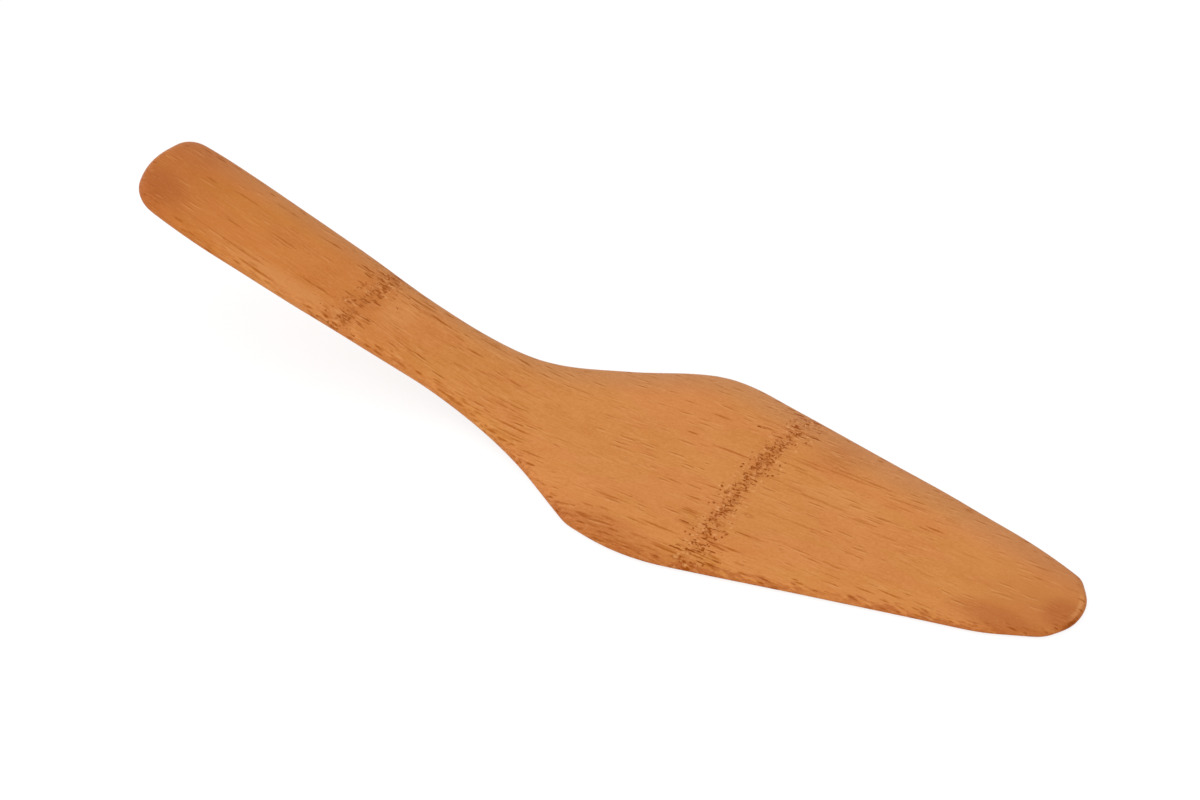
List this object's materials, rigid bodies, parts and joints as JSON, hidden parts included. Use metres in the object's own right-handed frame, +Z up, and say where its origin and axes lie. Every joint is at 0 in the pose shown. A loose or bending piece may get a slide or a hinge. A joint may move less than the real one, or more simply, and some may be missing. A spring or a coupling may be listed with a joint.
{
  "type": "cake spatula",
  "caption": "One-piece bamboo cake spatula with a flat kite-shaped blade, a rounded tip and a plain handle bent up from the blade.",
  "frame": {"origin": "centre of the bounding box in plan, on the plane that the blade's flat underside rests on", "axes": "+X along the spatula from the handle's end to the blade's tip, +Y across the blade, +Z up, out of the blade's top face"},
  "size_m": [0.2788, 0.0728, 0.0431],
  "materials": {
    "carbonised_bamboo": "oiled satin bamboo, grain along the length, two darker node bands across it"
  },
  "bodies": {
    "root": {"spatula_body": "carbonised_bamboo"}
  },
  "joints": []
}
